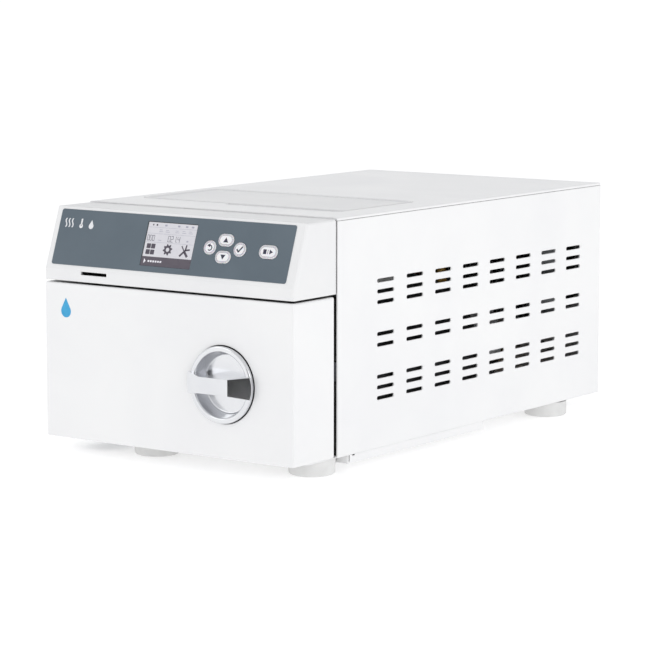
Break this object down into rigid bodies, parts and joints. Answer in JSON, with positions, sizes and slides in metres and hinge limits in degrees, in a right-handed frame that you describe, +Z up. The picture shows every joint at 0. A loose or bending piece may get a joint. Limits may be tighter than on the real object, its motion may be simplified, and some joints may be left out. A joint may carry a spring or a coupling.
{
  "type": "benchtop autoclave",
  "caption": "Front-loading benchtop steam autoclave with a hinged door, rotary lock knob, sloping control console, vented cabinet and a water tank lid on top.",
  "frame": {"origin": "on the floor under the middle of the overall box, between the four feet", "axes": "+X to the right seen from the front, +Y from the door to the rear panel, +Z up"},
  "size_m": [0.27, 0.5206, 0.2183],
  "materials": {
    "white_powder_coat": "smooth semi-gloss white powder coat",
    "black_powder_coat": "matte black powder coat",
    "white_plastic": "fine satin moulded ABS, white",
    "slate_overlay": "fine-textured slate grey polyester overlay",
    "display_glass": "glossy colour display",
    "key_white": "smooth white key cap",
    "circuit_board": "green solder mask",
    "black_plastic": "black moulded plastic",
    "red_plastic": "red moulded plastic",
    "zinc_steel": "zinc-plated steel",
    "stainless_steel": "brushed stainless steel",
    "satin_chrome": "satin chrome",
    "cast_aluminium": "plain aluminium",
    "brass": "machined brass",
    "copper": "drawn copper tube",
    "grey_silicone": "grey silicone rubber",
    "insulation_felt": "mineral fibre felt",
    "white_rubber": "light grey rubber"
  },
  "bodies": {
    "cabinet": {"base_plate": "white_powder_coat", "drop_pan": "white_powder_coat", "right_side_panel": "white_powder_coat", "left_side_panel": "white_powder_coat", "top_cover": "white_powder_coat", "rear_panel": "white_powder_coat", "header_housing": "white_plastic", "control_overlay": "slate_overlay", "display_module": "display_glass", "control_board": "circuit_board", "card_reader": "black_plastic", "front_frame": "black_powder_coat", "lock_keepers": "zinc_steel", "hinge_brackets": "zinc_steel", "hinge_pins": "zinc_steel", "chamber_vessel": "stainless_steel", "chamber_flange": "stainless_steel", "heater_bands": "grey_silicone", "insulation_jacket": "insulation_felt", "chamber_saddle": "zinc_steel", "tray_rack": "stainless_steel", "lower_tray": "stainless_steel", "upper_tray": "stainless_steel", "steam_generator": "brass", "vacuum_pump": "cast_aluminium", "water_pump": "black_plastic", "clean_water_tank": "white_plastic", "waste_water_tank": "white_plastic", "condenser": "cast_aluminium", "fan_housing": "black_plastic", "valve_manifold": "brass", "safety_valve": "brass", "power_board": "circuit_board", "copper_pipes": "copper", "mains_inlet": "black_plastic", "drain_cocks": "brass", "feet": "white_rubber", "machine_screws": "zinc_steel", "air_filter": "white_plastic"},
    "door": {"door_shell": "white_powder_coat", "door_back_plate": "white_powder_coat", "pressure_disc": "stainless_steel", "door_gasket": "grey_silicone", "door_hinge_blocks": "zinc_steel", "lock_chassis": "cast_aluminium"},
    "knob": {"knob_dial": "satin_chrome", "knob_grip": "satin_chrome", "knob_spindle": "zinc_steel"},
    "right_bolt": {"lock_bolt_right": "zinc_steel"},
    "left_bolt": {"lock_bolt_left": "zinc_steel"},
    "up_key": {"button_up": "key_white"},
    "down_key": {"button_down": "key_white"},
    "back_key": {"button_back": "key_white"},
    "ok_key": {"button_ok": "key_white"},
    "start_key": {"button_start": "key_white"},
    "lid": {"tank_lid": "white_plastic"},
    "rotor": {"fan_rotor": "black_plastic"},
    "rocker": {"switch_rocker": "black_plastic"},
    "clean_lever": {"drain_lever_clean": "red_plastic"},
    "waste_lever": {"drain_lever_waste": "black_plastic"}
  },
  "joints": [
    {"name": "door_hinge", "type": "hinge", "parent": "cabinet", "child": "door", "pos_m": [-0.127, -0.19845, 0.08], "axis": [0, 0, -1], "range_deg": [0, 105]},
    {"name": "knob_turn", "type": "hinge", "parent": "door", "child": "knob", "pos_m": [0.0614, -0.21875, 0.0786], "axis": [0, 1, 0], "range_deg": [0, 90]},
    {"name": "right_bolt_slide", "type": "slide", "parent": "door", "child": "right_bolt", "axis": [1, 0, 0], "range_m": [0, 0.0064]},
    {"name": "left_bolt_slide", "type": "slide", "parent": "door", "child": "left_bolt", "axis": [-1, 0, 0], "range_m": [0, 0.0064]},
    {"name": "up_key_press", "type": "slide", "parent": "cabinet", "child": "up_key", "axis": [0, 0.9432, -0.3322], "range_m": [0, 0.0008], "stiffness_N_per_m": 300},
    {"name": "down_key_press", "type": "slide", "parent": "cabinet", "child": "down_key", "axis": [0, 0.9432, -0.3322], "range_m": [0, 0.0008], "stiffness_N_per_m": 300},
    {"name": "back_key_press", "type": "slide", "parent": "cabinet", "child": "back_key", "axis": [0, 0.9432, -0.3322], "range_m": [0, 0.0008], "stiffness_N_per_m": 300},
    {"name": "ok_key_press", "type": "slide", "parent": "cabinet", "child": "ok_key", "axis": [0, 0.9432, -0.3322], "range_m": [0, 0.0008], "stiffness_N_per_m": 300},
    {"name": "start_key_press", "type": "slide", "parent": "cabinet", "child": "start_key", "axis": [0, 0.9432, -0.3322], "range_m": [0, 0.0008], "stiffness_N_per_m": 300},
    {"name": "lid_lift", "type": "slide", "parent": "cabinet", "child": "lid", "axis": [0, 0, 1], "range_m": [0, 0.12]},
    {"name": "fan_spin", "type": "hinge", "parent": "cabinet", "child": "rotor", "pos_m": [0.062, 0.23925, 0.15], "axis": [0, 1, 0], "continuous": true},
    {"name": "rocker_tilt", "type": "hinge", "parent": "cabinet", "child": "rocker", "pos_m": [-0.092, 0.24225, 0.082], "axis": [-1, 0, 0], "range_deg": [0, 16]},
    {"name": "clean_drain_turn", "type": "hinge", "parent": "cabinet", "child": "clean_lever", "pos_m": [-0.018, 0.25065, 0.05], "axis": [0, 0, 1], "range_deg": [0, 90]},
    {"name": "waste_drain_turn", "type": "hinge", "parent": "cabinet", "child": "waste_lever", "pos_m": [0.022, 0.25065, 0.05], "axis": [0, 0, 1], "range_deg": [0, 90]}
  ],
  "couplings": [
    {"joint": "right_bolt_slide", "follows": "knob_turn", "m_per_rad": 0.004},
    {"joint": "left_bolt_slide", "follows": "knob_turn", "m_per_rad": 0.004}
  ]
}
